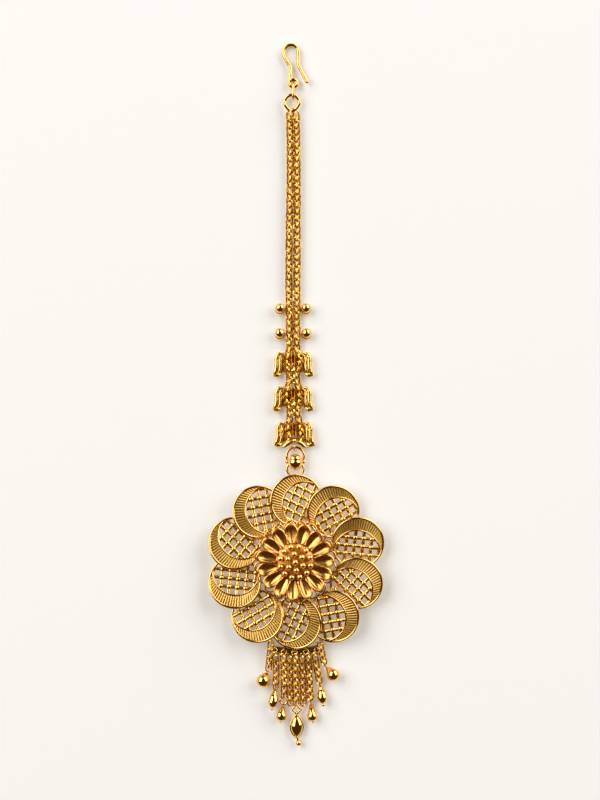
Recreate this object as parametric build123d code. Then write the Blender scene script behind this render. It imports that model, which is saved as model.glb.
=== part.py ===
from build123d import *
import os
from math import asin, cos, degrees, radians, sin, sqrt, tan

# Maang tikka, lying on its back. Millimetres, +Z up, hook end towards +Y.
# X = 0 is the flower's centre line, Y = 0 is halfway between the hook's crest and the lowest drop's tip,
# and Z = 0 is the surface that it lies on.

# Overall places
half_length = 80.0                 # hook crest at +Y, tip of the central drop at -Y
flower_y = -37.8                   # centre of the flower

# Hook, its link and the pear-shaped ring
hook_wire = 0.88
hook_bow_radius = 1.6              # centre line of the hook's bow
hook_x = -0.95
eye_radius = 0.84                  # centre line of the closed eye
eye_x, eye_y = -0.45, 70.70
ring_level = 1.15                  # height of the eye, the link and the pear ring
hook_link_length, hook_link_height, hook_link_wire = 4.15, 2.30, 0.60
pear_wire = 0.85
pear_x, pear_y, pear_radius = -0.77, 66.40, 1.64
pear_foot_y, pear_foot_radius = 64.80, 0.45
end_link_length, end_link_height, end_link_wire = 2.85, 1.95, 0.42

# Link chains, each held as one tube
upper_chain_diameter = 1.40
fringe_chain_diameter = 1.36

# Side beads
bead_radius = 1.30
bead_places = [(-3.43, 19.5), (2.42, 19.5), (-3.54, 13.8), (2.53, 13.8)]   # x, y

# Tulips
tulip_height = 2.10
tulip_round = 0.45                 # radius on the corners and along the top edge
tulip_strap_thickness = 0.42
slot_loop_width, slot_loop_length, slot_loop_wire = 1.15, 3.30, 0.36
tulip_places = [                   # name, x of the axis, y of the top edge
    ("tulip_01", -0.50, 9.85),
    ("tulip_02", -0.50, 2.05),
    ("tulip_03", -0.20, -6.05),
]

# Connector
connector_wire = 0.75
upper_ring_y, upper_ring_radius = -13.97, 2.00
lower_ring_y, lower_ring_radius = -16.95, 1.86
connector_level = 1.20
connector_ball_radius, connector_ball_y = 1.88, -15.35
connector_pin_radius, connector_pin_length = 0.45, 4.90

# Flower petals
petal_count = 10
petal_radius = 6.10
petal_reach_x, petal_reach_y = 14.55, 13.95   # petal centres lie on an ellipse about the flower's centre
petal_shifts = [                   # how far each petal sits off the ellipse, x and y
    (0.20, -0.30), (0.0, -0.10), (0.30, -0.20), (0.0, -0.70), (0.0, -1.20),
    (0.0, 0.0), (0.0, -1.20), (0.15, -0.50), (0.15, -0.30), (0.25, -0.20),
]
petal_level = 2.60
petal_tilt = 11.0                  # each petal's left side rises over its neighbour
rim_wall, rim_height = 0.55, 0.90
window_radius = 5.30               # open lattice, bounded by a wire of this centre line
window_shift, window_angle = 2.30, -115.0
window_wire = 0.50
crescent_thickness = 0.40
lattice_pitch, lattice_bar, lattice_angle = 1.90, 0.50, -24.5
lattice_shift_x, lattice_shift_y = 0.33, 0.05
lattice_reach = 3                  # bars on each side of the lattice's centre

# Hub, scrolls, daisy and granules
hub_disc_radius, hub_disc_thickness = 7.40, 0.90
hub_stem_radius, hub_top = 4.60, 4.00
scroll_count, scroll_ring_radius = 20, 8.15
scroll_radius, scroll_wire = 1.08, 0.42
scroll_level, scroll_plate_radius = 4.33, 7.40
daisy_petals, daisy_first_angle = 15, 98.0
daisy_level, daisy_plate_radius, daisy_plate_thickness = 4.62, 4.60, 0.45
spoon_root, spoon_root_radius = 5.10, 0.62
spoon_round_at, spoon_round_radius = 7.15, 1.33
spoon_depth, spoon_floor, spoon_edge, spoon_rise = 0.95, 0.40, 0.26, 11.0
dome_radius, dome_height, dome_level = 4.12, 0.90, 5.14
granule_radius, stem_radius = 0.66, 0.24
granule_rings = [                  # count, ring radius, height of the ball's centre, first angle
    (1, 0.00, 7.00, 0.0),
    (6, 1.85, 6.85, 37.0),
    (12, 3.50, 6.45, 17.0),
]

# Fringe
bar_inner_radius, bar_outer_radius, bar_half_angle = 20.16, 21.50, 18.5
bar_bottom, bar_thickness = 1.30, 0.80
bar_hole_radius, bar_hole_count = 0.42, 8
strand_start_radius = 21.72        # strand tops, from the flower's centre
apex_radius, eye_wire = 0.42, 0.26
drop_table = [                     # name, apex x, y, turn in degrees, body radius, length, tip radius, eye diameter
    ("drop_a", -6.32, -63.02, -25.0, 1.58, 3.88, 0.0, 0.78),
    ("drop_b", -4.55, -67.20, -10.0, 1.18, 4.15, 0.36, 0.78),
    ("drop_c", -2.74, -70.70, -10.0, 1.30, 3.75, 0.22, 1.00),
    ("drop_e", 3.56, -70.20, 6.0, 1.24, 4.25, 0.22, 0.78),
    ("drop_f", 5.72, -66.30, 9.0, 1.16, 4.05, 0.42, 0.78),
    ("drop_g", 7.02, -61.92, 41.0, 1.50, 3.92, 0.0, 0.78),
]
ring_c_x, ring_c_y, ring_c_level = -2.68, -69.70, 1.30
marquise_width, marquise_length, marquise_half_depth = 3.30, 5.50, 1.05
marquise_apex_x, marquise_apex_y = 0.32, -72.75
marquise_eye_diameter, marquise_eye_wire = 1.10, 0.28
tip_ball_radius = 0.70
centre_ring_y, centre_ring_reach, centre_ring_wire = -71.64, 1.00, 0.36


def round_wire(path, diameter):
    """Round wire of a given diameter along a path."""
    section = Plane(origin=path @ 0, z_dir=path % 0) * Circle(diameter / 2)
    return sweep(section, path=path)


def oval_link(length, width, wire):
    """Closed oval link, flat, with its long axis along Y."""
    centre_line = SlotOverall(length - wire, width - wire).wire()
    return Rot(0, 0, 90) * round_wire(centre_line, wire)


def tube_route(name, points):
    """Straight runs joined by arcs that are as large as their two runs allow."""
    corners = [Vector(*point) for point in points]
    radii = []
    for before, corner, after in zip(corners, corners[1:], corners[2:]):
        run_in, run_out = corner - before, after - corner
        half_turn = radians(run_in.get_angle(run_out)) / 2
        radii.append(0.45 * min(run_in.length, run_out.length) / tan(half_turn))
    print(name, "bend radii, mm:", [round(radius, 1) for radius in radii])
    return FilletPolyline(*corners, radius=radii)


def chain_tube(name, points, diameter):
    """Link chain as one tube along its route, with a check of its volume."""
    path = tube_route(name, points)
    tube = round_wire(path, diameter)
    section_area = Circle(diameter / 2).area
    print(name, "length, mm:", round(path.length, 1), "volume ratio:",
          round(tube.volume / (section_area * path.length), 4))
    return tube


def polar(radius, angle):
    return radius * cos(radians(angle)), radius * sin(radians(angle))


# ---------------------------------------------------------------- hook and rings

def hair_hook():
    """Bow at the top, one limb down to the closed eye and one to the free end."""
    bow_centre_y = half_length - hook_wire / 2 - hook_bow_radius
    bow_top = bow_centre_y + hook_bow_radius
    bow_side = hook_bow_radius + 0.05
    route = [                      # x, y of each corner of the bent wire, radius of its bend
        (eye_x - eye_radius, eye_y, None),
        (eye_x - eye_radius + 0.04, eye_y + 1.2, 2.4),
        (-0.86, 74.10, 2.2),
        (hook_x - bow_side - 0.02, 77.10, 2.0),
        (hook_x - bow_side, bow_top, hook_bow_radius),
        (hook_x + bow_side, bow_top, hook_bow_radius),
        (hook_x + bow_side - 0.16, 75.20, 4.0),
        (2.66, 71.10, None),
    ]
    path = FilletPolyline(*[(x, y) for x, y, _ in route], radius=[bend for _, _, bend in route[1:-1]])
    eye = Pos(eye_x, eye_y, 0) * Torus(eye_radius, hook_wire / 2)
    free_end = Pos(*route[-1][:2], 0) * Sphere(hook_wire / 2)
    flat_hook = round_wire(path, hook_wire) + eye + free_end
    # The eye hangs in the link, and the bow's crest rests on the surface.
    drop = ring_level - hook_wire / 2
    lean = asin(drop / (half_length - hook_wire / 2 - eye_y))
    pivot = Pos(eye_x, eye_y, ring_level)
    return pivot * Rot(-degrees(lean), 0, 0) * Pos(-eye_x, -eye_y, 0) * flat_hook


def hook_link():
    """Oval link on edge, round the eye's lower wire and the pear ring's top wire."""
    upright = Rot(0, 90, 0) * oval_link(hook_link_length, hook_link_height, hook_link_wire)
    top_inside_eye = eye_y + eye_radius - hook_wire / 2 - 0.10
    return Pos(eye_x - 0.02, top_inside_eye - hook_link_length / 2, ring_level) * upright


def pear_outline():
    """Large arc at the top and a small one at the foot, joined by their tangents."""
    spread = asin((pear_radius - pear_foot_radius) / (pear_y - pear_foot_y))
    lean = degrees(spread)
    big, foot = Vector(pear_x, pear_y), Vector(pear_x, pear_foot_y)

    def on_circle(centre, radius, angle):
        x, y = polar(radius, angle)
        return centre + Vector(x, y)

    head = ThreePointArc(on_circle(big, pear_radius, -lean), on_circle(big, pear_radius, 90),
                         on_circle(big, pear_radius, 180 + lean))
    left = Line(head @ 1, on_circle(foot, pear_foot_radius, 180 + lean))
    toe = ThreePointArc(left @ 1, on_circle(foot, pear_foot_radius, 270),
                        on_circle(foot, pear_foot_radius, -lean))
    right = Line(toe @ 1, head @ 0)
    return Wire([head.edge(), left.edge(), toe.edge(), right.edge()])


def top_ring():
    return Pos(0, 0, ring_level) * round_wire(pear_outline(), pear_wire)


def end_link():
    """Oval link on edge round the pear ring's foot."""
    upright = Rot(0, 90, 0) * oval_link(end_link_length, end_link_height, end_link_wire)
    inside_ring = pear_foot_y - pear_foot_radius + pear_wire / 2 + 0.10 + end_link_wire
    return Pos(pear_x, inside_ring - end_link_length / 2, ring_level) * upright


# ---------------------------------------------------------------- upper chain

upper_routes = {                   # x, y, z of each corner, from the pear ring to the last tulip
    "chain_left": [
        (-1.80, 63.70, 0.72), (-1.66, 61.40, 0.70), (-1.24, 57.60, 0.70), (-1.08, 50.00, 0.70),
        (-1.42, 38.50, 0.70), (-1.56, 26.50, 0.70), (-1.46, 18.00, 0.70), (-1.56, 12.40, 0.80),
        (-1.86, 8.60, 1.24), (-1.84, -1.90, 1.22), (-1.58, -6.20, 1.22), (-1.54, -10.90, 1.22),
    ],
    "chain_right": [
        (0.50, 63.70, 0.72), (0.46, 61.40, 0.70), (0.36, 57.60, 0.70), (0.46, 50.00, 0.70),
        (0.50, 38.50, 0.70), (0.43, 26.50, 0.70), (0.45, 18.00, 0.70), (0.54, 12.40, 0.80),
        (0.86, 8.60, 1.24), (0.86, -2.60, 1.22), (1.15, -6.40, 1.22), (1.18, -10.90, 1.22),
    ],
}


def side_beads():
    return {f"side_bead_{number:02d}": Pos(x, y, bead_radius) * Sphere(bead_radius)
            for number, (x, y) in enumerate(bead_places, 1)}


# ---------------------------------------------------------------- tulips

def tulip_side():
    """Right-hand petal: round shoulder, straight flank and an out-turned pointed foot."""
    outline = [                    # two ends and the middle of each stretch of the outline
        Line((2.16, -4.60), (2.16, -0.30)),
        ThreePointArc((2.16, -0.30), (3.55, -0.32), (4.28, -1.80)),
        Line((4.28, -1.80), (4.22, -4.00)),
        ThreePointArc((4.22, -4.00), (4.32, -4.95), (4.76, -5.72)),
        ThreePointArc((4.76, -5.72), (3.95, -6.14), (3.10, -5.80)),
        ThreePointArc((3.10, -5.80), (2.50, -5.32), (2.16, -4.60)),
    ]
    face = make_face(Wire([stretch.edge() for stretch in outline]))
    body = extrude(fillet(face.vertices(), tulip_round), tulip_height)
    body = fillet(body.edges().group_by(Axis.Z)[-1], tulip_round)
    groove = Line((3.30, -1.00), (3.34, -4.90))
    return body - Pos(0, 0, tulip_height) * round_wire(groove, 0.62)


def slot_loop():
    """Upright oval frame with a narrow slot, between the two strands."""
    outer = SlotOverall(slot_loop_length, slot_loop_width)
    slot = SlotOverall(slot_loop_length - 2 * slot_loop_wire, slot_loop_width - 2 * slot_loop_wire)
    return Pos(0, -0.15 - slot_loop_length / 2, 0) * Rot(0, 0, 90) * extrude(outer - slot, tulip_height - 0.1)


def tulip():
    side = tulip_side()
    strap = Pos(0, -2.0, tulip_strap_thickness / 2) * Box(5.2, 1.3, tulip_strap_thickness)
    knot = Pos(0, -4.30, 0) * Cylinder(0.42, tulip_height - 0.3, align=(Align.CENTER, Align.CENTER, Align.MIN))
    knot_strap = Pos(0, -4.30, tulip_strap_thickness / 2) * Box(5.2, 0.8, tulip_strap_thickness)
    return side + mirror(side, Plane.YZ) + slot_loop() + strap + knot + knot_strap


def last_tulip():
    """Tulip with the inverted V of leaves over the strands' ends and the eye for the connector."""
    leaf = Pos(1.45, -4.85, tulip_height + 0.08) * Rot(0, 0, -30) * Box(3.3, 0.75, 0.36)
    wire_top = upper_ring_y + upper_ring_radius - tulip_places[2][2]
    eye = Rot(0, 90, 0) * Torus(0.80, 0.21)
    eye = Pos(0, wire_top + 0.02, connector_level) * eye
    post = Pos(0, wire_top + 1.02, connector_level + 0.15) * Box(0.42, 0.9, 1.8)
    return tulip() + leaf + mirror(leaf, Plane.YZ) + eye + post


# ---------------------------------------------------------------- connector and lug

def connector():
    """Ball between two rings, soldered where the rings' sides meet it."""
    rings = [(upper_ring_y, upper_ring_radius), (lower_ring_y, lower_ring_radius)]
    ball = Rot(90, 0, 0) * Rot(0, 0, 90) * Sphere(connector_ball_radius)
    body = Pos(0, connector_ball_y, connector_ball_radius) * ball
    for ring_y, radius in rings:
        body += Pos(0, ring_y, connector_level) * Torus(radius, connector_wire / 2)
    cross_pin = Rot(0, 90, 0) * Cylinder(connector_pin_radius, connector_pin_length)
    return body + Pos(0, connector_ball_y - 0.03, connector_level + 0.10) * cross_pin


def pendant_lug():
    """Loop behind the top petal's rim."""
    wire_foot = lower_ring_y - lower_ring_radius
    return Pos(0, wire_foot - 0.03, connector_level - 0.08) * Rot(0, 90, 0) * Torus(0.68, 0.20)


# ---------------------------------------------------------------- flower

def disc(radius, thickness):
    return Cylinder(radius, thickness)


def filigree_petal():
    """Round petal, flat: X points out of the flower and Y to the petal's left."""
    window_x, window_y = polar(window_shift, window_angle)
    window_place = Pos(window_x, window_y, 0)
    inside_rim = disc(petal_radius - rim_wall / 2, rim_height)
    rim = disc(petal_radius, rim_height) - disc(petal_radius - rim_wall, rim_height)
    crescent = disc(petal_radius - rim_wall / 2, crescent_thickness)
    crescent -= window_place * disc(window_radius, rim_height)
    frame = disc(window_radius + window_wire / 2, rim_height * 0.8)
    frame -= disc(window_radius - window_wire / 2, rim_height)
    frame = (window_place * frame) & inside_rim
    clear_window = (window_place * disc(window_radius, rim_height)) & inside_rim
    bar_length = 3 * petal_radius
    lattice_place = Pos(lattice_shift_x, lattice_shift_y, 0) * Rot(0, 0, lattice_angle)
    bars = []
    for number in range(-lattice_reach, lattice_reach):
        offset = (number + 0.5) * lattice_pitch
        bars.append(lattice_place * Pos(0, offset, 0.10) * Box(bar_length, lattice_bar, 0.42))
        bars.append(lattice_place * Pos(offset, 0, -0.16) * Box(lattice_bar, bar_length, 0.42))
    lattice = bars[0].fuse(*bars[1:]) & clear_window
    return rim + crescent + frame + lattice


def petals():
    flat = filigree_petal()
    placed = {}
    for number, (shift_x, shift_y) in enumerate(petal_shifts):
        angle = 90 - number * 360 / petal_count
        x, y = petal_reach_x * cos(radians(angle)), petal_reach_y * sin(radians(angle))
        place = Pos(x + shift_x, flower_y + y + shift_y, petal_level) * Rot(0, 0, angle)
        placed[f"petal_{number + 1:02d}"] = place * Rot(petal_tilt, 0, 0) * flat
    return placed


def hub():
    """Back disc that the jewel rests on, with the stem that carries the upper layers."""
    base = Cylinder(hub_disc_radius, hub_disc_thickness, align=(Align.CENTER, Align.CENTER, Align.MIN))
    stem = Cylinder(hub_stem_radius, hub_top, align=(Align.CENTER, Align.CENTER, Align.MIN))
    return Pos(0, flower_y, 0) * (base + stem)


def scroll_layer():
    """Thin plate with a ring of wire loops round it."""
    plate_thickness = 0.34
    layer = Pos(0, 0, scroll_level) * disc(scroll_plate_radius, plate_thickness)
    for number in range(scroll_count):
        x, y = polar(scroll_ring_radius, (number + 0.5) * 360 / scroll_count)
        layer += Pos(x, y, scroll_level) * Torus(scroll_radius, scroll_wire / 2)
    return Pos(0, flower_y, 0) * layer


def spoon():
    """One daisy petal along X: a tapered root, a round end and a hollow with a thin edge."""
    def outline(inset):
        round_end = Pos(spoon_round_at, 0, 0) * Circle(spoon_round_radius - inset)
        root = Pos(spoon_root, 0, 0) * Circle(spoon_root_radius - inset)
        return make_hull(round_end.edges() + root.edges())
    body = extrude(outline(0), spoon_depth)
    hollow = Pos(0, 0, spoon_floor) * extrude(outline(spoon_edge), spoon_depth)
    return Rot(0, -spoon_rise, 0) * (body - hollow)


def daisy():
    crown = Cylinder(daisy_plate_radius, daisy_plate_thickness, align=(Align.CENTER, Align.CENTER, Align.MIN))
    for number in range(daisy_petals):
        angle = daisy_first_angle - number * 360 / daisy_petals
        crown += Rot(0, 0, angle) * Pos(0, 0, -spoon_root * tan(radians(spoon_rise)) + 0.10) * spoon()
    return Pos(0, flower_y, daisy_level) * crown


def granule_cluster():
    """Low dome with balls on short stems."""
    sphere_radius = (dome_radius ** 2 + dome_height ** 2) / (2 * dome_height)
    cap = Pos(0, 0, dome_height - sphere_radius) * Sphere(sphere_radius)
    cap &= Cylinder(dome_radius, dome_height, align=(Align.CENTER, Align.CENTER, Align.MIN))
    cluster = Pos(0, 0, dome_level) * cap
    for count, ring_radius, level, first_angle in granule_rings:
        for number in range(count):
            x, y = polar(ring_radius, first_angle + number * 360 / count)
            stem_length = level - dome_level - 0.1
            cluster += Pos(x, y, level) * Sphere(granule_radius)
            cluster += Pos(x, y, level - stem_length / 2) * Cylinder(stem_radius, stem_length)
    return Pos(0, flower_y, 0) * cluster


# ---------------------------------------------------------------- fringe

strand_routes = {                  # x, z of the top at the bar, then x, y, z of each corner down to the end
    "fringe_chain_a": [(-5.96, 1.62), (-5.94, -60.00, 1.16), (-6.02, -61.20, 0.92), (-6.08, -62.38, 0.90)],
    "fringe_chain_b": [(-4.60, 1.66), (-4.30, -61.40, 1.00), (-4.36, -64.10, 0.80), (-4.46, -66.56, 0.90)],
    "fringe_chain_c": [(-2.82, 1.72), (-2.60, -62.20, 1.52), (-2.50, -65.60, 1.46), (-2.60, -68.60, 1.30)],
    "fringe_chain_c2": [(-1.42, 1.30), (-1.32, -62.40, 0.76), (-1.30, -66.20, 0.68), (-1.16, -70.20, 0.68)],
    "fringe_chain_d": [(0.03, 1.72), (-0.04, -62.90, 1.46), (0.04, -66.60, 1.40), (0.24, -70.25, 1.18)],
    "fringe_chain_d2": [(1.46, 1.40), (1.64, -62.40, 0.80), (1.66, -66.20, 0.68), (1.84, -70.20, 0.68)],
    "fringe_chain_e": [(2.92, 1.66), (3.14, -62.20, 0.92), (3.26, -65.80, 0.82), (3.50, -69.54, 1.00)],
    "fringe_chain_f": [(4.42, 1.66), (4.68, -61.10, 1.02), (5.08, -63.40, 0.82), (5.60, -65.66, 0.92)],
    "fringe_chain_g": [(5.88, 1.62), (6.22, -59.60, 1.14), (6.46, -60.60, 0.96), (6.64, -61.34, 0.94)],
}


def strand_points(top, *corners):
    """The top of a strand meets the bar's outer edge."""
    x, z = top
    near_x = max(abs(x) - fringe_chain_diameter / 2, 0)
    return [(x, flower_y - sqrt(strand_start_radius ** 2 - near_x ** 2), z), *corners]


def fringe_bar():
    """Flat curved strip with a row of openings."""
    strip = Cylinder(bar_outer_radius, bar_thickness) - Cylinder(bar_inner_radius, bar_thickness)
    wedge = extrude(make_face(Polyline((0, 0), polar(40, -90 - bar_half_angle), polar(40, -90),
                                       polar(40, -90 + bar_half_angle), (0, 0))),
                    bar_thickness / 2, both=True)
    strip &= wedge
    hole_ring = (bar_inner_radius + bar_outer_radius) / 2
    for number in range(bar_hole_count):
        angle = -90 + bar_half_angle * ((number + 0.5) / bar_hole_count * 2 - 1) * 0.96
        strip -= Pos(*polar(hole_ring, angle), 0) * Cylinder(bar_hole_radius, bar_thickness)
    return Pos(0, flower_y, bar_bottom + bar_thickness / 2) * strip


def turned_drop(body_radius, length, tip_radius):
    """Pear-shaped drop along -Y from its apex, with a small tip ball or none."""
    centre = length - body_radius
    spread = asin((body_radius - apex_radius) / (centre - apex_radius))
    lean = degrees(spread)
    apex = Vector(0, -apex_radius)
    round_end = Vector(0, -centre)

    def beside(point, radius):
        return point + Vector(radius * cos(radians(lean)), radius * sin(radians(lean)))

    top = ThreePointArc(apex + Vector(*polar(apex_radius, 70)), apex + Vector(*polar(apex_radius, 45)),
                        beside(apex, apex_radius))
    flank = Line(top @ 1, beside(round_end, body_radius))
    belly = ThreePointArc(flank @ 1, round_end + Vector(*polar(body_radius, (lean - 90) / 2)), (0, -length))
    axis = Line((0, -length), (0, (top @ 0).Y))
    flat = Line(axis @ 1, top @ 0)
    profile = make_face(Wire([flat.edge(), top.edge(), flank.edge(), belly.edge(), axis.edge()]))
    body = revolve(profile, Axis.Y)
    if tip_radius:
        body += Pos(0, -length - tip_radius * 0.6, 0) * Sphere(tip_radius)
    return body


def drop_eye(diameter, wire):
    """Small upright ring at a drop's apex."""
    return Pos(0, diameter / 2 - wire, 0) * Rot(0, 90, 0) * Torus((diameter - wire) / 2, wire / 2)


def turned_drops():
    drops = {}
    for name, x, y, turn, body_radius, length, tip_radius, eye_diameter in drop_table:
        drop = turned_drop(body_radius, length, tip_radius) + drop_eye(eye_diameter, eye_wire)
        drops[name] = Pos(x, y, body_radius) * Rot(0, 0, turn) * drop
    return drops


def marquise_drop():
    """Pointed oval with bevelled sides front and back, a waist and a tip ball."""
    half_length_m, half_width = marquise_length / 2, marquise_width / 2
    right = ThreePointArc((0, half_length_m), (half_width, 0), (0, -half_length_m))
    left = ThreePointArc((0, -half_length_m), (-half_width, 0), (0, half_length_m))
    outline = make_face(Wire([right.edge(), left.edge()]))
    front = extrude(outline, marquise_half_depth, taper=38)
    body = front + mirror(front, Plane.XY)
    ball_y = -half_length + tip_ball_radius
    centre_y = marquise_apex_y - half_length_m
    body = Pos(marquise_apex_x, centre_y, 0) * body
    neck_top, neck_foot = centre_y - half_length_m + 0.7, ball_y
    neck = Pos(marquise_apex_x + 0.22, (neck_top + neck_foot) / 2, 0) * Rot(90, 0, 0) \
        * Cylinder(0.24, neck_top - neck_foot)
    ball = Pos(marquise_apex_x + 0.46, ball_y, 0) * Sphere(tip_ball_radius)
    eye = Pos(marquise_apex_x, marquise_apex_y - 0.04, 0) * drop_eye(marquise_eye_diameter, marquise_eye_wire)
    return Pos(0, 0, marquise_half_depth) * (body + neck + ball + eye)


def centre_ring():
    """Diamond-shaped jump ring with rounded corners."""
    reach = centre_ring_reach
    path = FilletPolyline((0, reach), (reach, 0), (0, -reach), (-reach, 0), radius=0.30, close=True)
    return Pos(marquise_apex_x, centre_ring_y, marquise_half_depth) * round_wire(path, centre_ring_wire)


def drop_ring_c():
    return Pos(ring_c_x, ring_c_y, ring_c_level) * Torus(0.77, 0.18)


# ---------------------------------------------------------------- assembly

def all_pieces():
    pieces = {
        "hair_hook": hair_hook(),
        "hook_link": hook_link(),
        "top_ring": top_ring(),
        "end_link": end_link(),
    }
    for name, points in upper_routes.items():
        pieces[name] = chain_tube(name, points, upper_chain_diameter)
    pieces.update(side_beads())
    for name, x, y in tulip_places:
        shape = last_tulip() if name == "tulip_03" else tulip()
        pieces[name] = Pos(x, y, 0) * shape
    pieces["connector"] = connector()
    pieces["pendant_lug"] = pendant_lug()
    pieces.update(petals())
    pieces["hub"] = hub()
    pieces["scroll_layer"] = scroll_layer()
    pieces["daisy"] = daisy()
    pieces["granule_cluster"] = granule_cluster()
    pieces["fringe_bar"] = fringe_bar()
    for name, points in strand_routes.items():
        pieces[name] = chain_tube(name, strand_points(*points), fringe_chain_diameter)
    pieces["centre_ring"] = centre_ring()
    pieces["drop_ring_c"] = drop_ring_c()
    pieces.update(turned_drops())
    pieces["drop_d"] = marquise_drop()
    return pieces


os.makedirs("parts", exist_ok=True)
for node, shape in all_pieces().items():
    export_step(shape, f"parts/{node}.step")
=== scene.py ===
import math
import random

import bmesh
import bpy
from mathutils import Matrix, Vector


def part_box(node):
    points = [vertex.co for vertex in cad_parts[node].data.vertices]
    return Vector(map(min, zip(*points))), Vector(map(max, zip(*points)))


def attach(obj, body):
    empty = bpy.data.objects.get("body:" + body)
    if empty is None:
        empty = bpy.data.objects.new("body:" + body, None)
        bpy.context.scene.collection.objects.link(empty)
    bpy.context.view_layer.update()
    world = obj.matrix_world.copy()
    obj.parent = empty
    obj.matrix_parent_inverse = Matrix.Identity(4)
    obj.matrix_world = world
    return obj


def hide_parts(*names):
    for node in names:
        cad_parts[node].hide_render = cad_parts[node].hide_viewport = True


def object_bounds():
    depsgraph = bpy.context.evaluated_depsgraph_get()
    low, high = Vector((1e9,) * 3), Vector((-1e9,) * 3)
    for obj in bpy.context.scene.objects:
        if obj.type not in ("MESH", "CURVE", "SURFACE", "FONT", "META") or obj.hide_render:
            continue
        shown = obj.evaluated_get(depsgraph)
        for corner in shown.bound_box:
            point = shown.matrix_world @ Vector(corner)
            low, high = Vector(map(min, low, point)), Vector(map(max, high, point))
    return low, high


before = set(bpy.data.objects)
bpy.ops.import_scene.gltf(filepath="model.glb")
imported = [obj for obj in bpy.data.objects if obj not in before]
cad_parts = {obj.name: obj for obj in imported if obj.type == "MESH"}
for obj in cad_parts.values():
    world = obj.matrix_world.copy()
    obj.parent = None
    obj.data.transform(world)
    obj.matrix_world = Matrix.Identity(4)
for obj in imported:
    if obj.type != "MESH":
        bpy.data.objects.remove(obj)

perMetre = 1000  # shapes are made in millimetres, finished pieces in metres
cadLow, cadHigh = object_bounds()
hubLow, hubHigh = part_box("hub")
flowerY = (hubLow.y + hubHigh.y) / 2 * perMetre  # the middle of the flower
print("frame loaded,", len(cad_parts), "nodes")

colorMix = {"factor": 0, "first": 6, "second": 7, "result": 2}  # sockets of a node that mixes colors
goldPattern = {
    "patchDetail": 3, "patchRange": (0.35, 0.65),  # patches of lighter and deeper gold
    "grainDetail": 2, "grainRange": (0.3, 0.7),  # polish differs a little from place to place
    "grainRelief": 0.35,
}
lacquer = {"weight": 1.0, "ior": 1.7}  # the clear coat over the plating
goldLooks = {
    "polishedGold": {"bright": (0.96, 0.60, 0.16), "deep": (0.92, 0.52, 0.10), "roughness": (0.05, 0.10),
                     "patchScale": 700, "grainScale": 4000, "bump": 0.15, "bumpDepth": 0.00002},
    "castGold": {"bright": (0.80, 0.385, 0.045), "deep": (0.72, 0.30, 0.022), "roughness": (0.25, 0.31),
                 "patchScale": 500, "grainScale": 1200, "bump": 0.1, "bumpDepth": 0.00001},
    "satinGold": {"bright": (0.98, 0.66, 0.17), "deep": (0.94, 0.56, 0.09), "roughness": (0.21, 0.30),
                  "patchScale": 700, "grainScale": 4000, "bump": 0.1, "bumpDepth": 0.00002},
    "ribGold": {"bright": (0.99, 0.66, 0.14), "deep": (0.97, 0.56, 0.085), "roughness": (0.33, 0.43),
                "patchScale": 1200, "grainScale": 6000, "bump": 0.3, "bumpDepth": 0.00003},
    "latticeGold": {"bright": (0.98, 0.635, 0.13), "deep": (0.90, 0.49, 0.065), "roughness": (0.16, 0.30),
                    "patchScale": 1100, "grainScale": 5000, "bump": 0.5, "bumpDepth": 0.00006},
    # dark brown painted in as shade: the plate in the valleys between the petal ribs
    "valleyShadeGold": {"bright": (0.44, 0.20, 0.024), "deep": (0.24, 0.10, 0.01), "roughness": (0.30, 0.45),
                   "patchScale": 1100, "grainScale": 5000, "bump": 0.5, "bumpDepth": 0.00006},
    "chainGold": {"bright": (0.99, 0.63, 0.066), "deep": (0.95, 0.51, 0.033), "roughness": (0.19, 0.32),
                  "patchScale": 900, "grainScale": 5000, "bump": 0.2, "bumpDepth": 0.00003},
    # deep orange painted in as light bounced between close gold parts: the seat under the granules and the
    # straps behind the tulip chains
    "seatBounceGold": {"bright": (0.90, 0.41, 0.02), "deep": (0.78, 0.27, 0.008), "roughness": (0.34, 0.55),
                 "patchScale": 1500, "grainScale": 6000, "bump": 0.6, "bumpDepth": 0.00006},
    # very dark brown painted in as shade: the back of the fringe strip, seen through its windows
    "recessShadeGold": {"bright": (0.32, 0.15, 0.02), "deep": (0.15, 0.06, 0.006), "roughness": (0.30, 0.50),
                   "patchScale": 1500, "grainScale": 5000, "bump": 0.6, "bumpDepth": 0.00008},
    "backGold": {"bright": (0.80, 0.48, 0.13), "deep": (0.62, 0.33, 0.07), "roughness": (0.24, 0.38),
                 "patchScale": 300, "grainScale": 3000, "bump": 0.5, "bumpDepth": 0.00005},
}


def link(tree, source, output, target, socket):
    tree.links.new(source.outputs[output], target.inputs[socket])


def setInputs(node, values):
    for socket, value in values.items():
        node.inputs[socket].default_value = value


def setRange(node, span):
    low, high = span
    setInputs(node, {"From Min": low, "From Max": high})


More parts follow.
